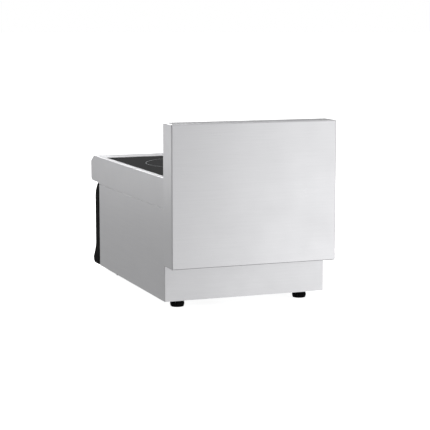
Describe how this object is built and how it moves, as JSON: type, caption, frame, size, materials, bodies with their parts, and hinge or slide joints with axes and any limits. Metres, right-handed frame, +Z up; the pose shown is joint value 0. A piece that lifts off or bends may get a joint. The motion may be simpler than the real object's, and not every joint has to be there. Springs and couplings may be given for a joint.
{
  "type": "countertop glass-top cooking unit",
  "caption": "Countertop cooking unit with a stainless body, rolled front edge, glass top, control knob, tall rear splash box and levelling feet.",
  "frame": {"origin": "middle of the outline on the surface that the unit stands on", "axes": "+Z up, -Y towards the front where the knob is, +X to the right seen from the front"},
  "size_m": [0.45, 0.74, 0.4806],
  "materials": {
    "brushed_stainless": "fine horizontal brushed finish",
    "galvanised_sheet": "zinc-coated sheet",
    "zinc_plated_steel": "zinc plated",
    "glass_ceramic": "black glass ceramic, polished",
    "silicone": "black silicone",
    "black_enamel": "black powder coat",
    "black_abs": "moulded, fine texture",
    "black_nylon": "moulded glass-filled nylon",
    "knob_plastic": "moulded phenolic, satin",
    "green_lens": "clear green lens",
    "amber_lens": "clear amber lens",
    "circuit_board": "green solder mask",
    "aluminium": "mill finish",
    "copper_litz": "enamelled litz wire",
    "ferrite": "sintered ferrite",
    "mica": "pressed mica paper",
    "grey_nylon": "moulded nylon",
    "capacitor_sleeve": "shrink sleeve",
    "filter_mesh": "knitted aluminium mesh"
  },
  "bodies": {
    "chassis": {"base_plate": "galvanised_sheet", "side_panel_left": "brushed_stainless", "side_panel_right": "brushed_stainless", "back_panel": "brushed_stainless", "mid_deck": "galvanised_sheet", "front_cross_rail": "galvanised_sheet", "hob_top": "brushed_stainless", "glass_top": "glass_ceramic", "glass_seal": "silicone", "glass_support_frame": "galvanised_sheet", "induction_coil": "copper_litz", "coil_carrier": "grey_nylon", "ferrite_bars": "ferrite", "coil_tray": "aluminium", "coil_tray_posts": "zinc_plated_steel", "mica_sheet": "mica", "temperature_sensor": "zinc_plated_steel", "control_fascia": "black_enamel", "fascia_end_cap_left": "black_abs", "fascia_end_cap_right": "black_abs", "dial_ring": "aluminium", "rotary_switch": "black_nylon", "power_lamp": "green_lens", "heating_lamp": "amber_lens", "control_board": "circuit_board", "splash_rear_cover": "brushed_stainless", "splash_front_plate": "brushed_stainless", "splash_vent_plate": "brushed_stainless", "splash_brackets": "galvanised_sheet", "fan_frame": "black_nylon", "fan_motor": "zinc_plated_steel", "air_duct": "galvanised_sheet", "filter_rails": "brushed_stainless", "power_board": "circuit_board", "power_modules": "black_nylon", "heat_sink": "aluminium", "bus_capacitors": "capacitor_sleeve", "mains_filter_board": "circuit_board", "filter_chokes": "copper_litz", "board_standoffs": "zinc_plated_steel", "terminal_block": "grey_nylon", "cable_pocket": "galvanised_sheet", "cable_gland": "black_nylon", "gland_lock_nut": "black_nylon", "earth_stud": "zinc_plated_steel", "foot_weld_nuts": "zinc_plated_steel", "chassis_screws": "zinc_plated_steel"},
    "knob": {"knob": "knob_plastic", "knob_shaft": "zinc_plated_steel"},
    "fan": {"fan_rotor": "black_nylon"},
    "filter": {"filter_frame": "brushed_stainless", "filter_mesh": "filter_mesh"},
    "stud_front_left": {"foot_stud_front_left": "zinc_plated_steel"},
    "foot_front_left": {"foot_pad_front_left": "black_nylon"},
    "stud_front_right": {"foot_stud_front_right": "zinc_plated_steel"},
    "foot_front_right": {"foot_pad_front_right": "black_nylon"},
    "stud_rear_left": {"foot_stud_rear_left": "zinc_plated_steel"},
    "foot_rear_left": {"foot_pad_rear_left": "black_nylon"},
    "stud_rear_right": {"foot_stud_rear_right": "zinc_plated_steel"},
    "foot_rear_right": {"foot_pad_rear_right": "black_nylon"}
  },
  "joints": [
    {"name": "knob_turn", "type": "hinge", "parent": "chassis", "child": "knob", "pos_m": [0, -0.3289, 0.148], "axis": [0, 1, 0], "range_deg": [0, 300]},
    {"name": "fan_spin", "type": "hinge", "parent": "chassis", "child": "fan", "pos_m": [0, -0.17, 0.04], "axis": [0, 0, 1], "continuous": true},
    {"name": "filter_slide", "type": "slide", "parent": "chassis", "child": "filter", "axis": [0, -1, 0], "range_m": [0, 0.2]},
    {"name": "foot_screw_front_left", "type": "slide", "parent": "chassis", "child": "stud_front_left", "axis": [0, 0, -1], "range_m": [0, 0.015]},
    {"name": "foot_turn_front_left", "type": "hinge", "parent": "stud_front_left", "child": "foot_front_left", "pos_m": [-0.173, -0.225, 0.011], "axis": [0, 0, -1], "range_deg": [0, 3601]},
    {"name": "foot_screw_front_right", "type": "slide", "parent": "chassis", "child": "stud_front_right", "axis": [0, 0, -1], "range_m": [0, 0.015]},
    {"name": "foot_turn_front_right", "type": "hinge", "parent": "stud_front_right", "child": "foot_front_right", "pos_m": [0.173, -0.225, 0.011], "axis": [0, 0, -1], "range_deg": [0, 3601]},
    {"name": "foot_screw_rear_left", "type": "slide", "parent": "chassis", "child": "stud_rear_left", "axis": [0, 0, -1], "range_m": [0, 0.015]},
    {"name": "foot_turn_rear_left", "type": "hinge", "parent": "stud_rear_left", "child": "foot_rear_left", "pos_m": [-0.173, 0.258, 0.011], "axis": [0, 0, -1], "range_deg": [0, 3601]},
    {"name": "foot_screw_rear_right", "type": "slide", "parent": "chassis", "child": "stud_rear_right", "axis": [0, 0, -1], "range_m": [0, 0.015]},
    {"name": "foot_turn_rear_right", "type": "hinge", "parent": "stud_rear_right", "child": "foot_rear_right", "pos_m": [0.173, 0.258, 0.011], "axis": [0, 0, -1], "range_deg": [0, 3601]}
  ],
  "couplings": [
    {"joint": "foot_turn_front_left", "follows": "foot_screw_front_left", "rad_per_m": 4188.8},
    {"joint": "foot_turn_front_right", "follows": "foot_screw_front_right", "rad_per_m": 4188.8},
    {"joint": "foot_turn_rear_left", "follows": "foot_screw_rear_left", "rad_per_m": 4188.8},
    {"joint": "foot_turn_rear_right", "follows": "foot_screw_rear_right", "rad_per_m": 4188.8}
  ]
}
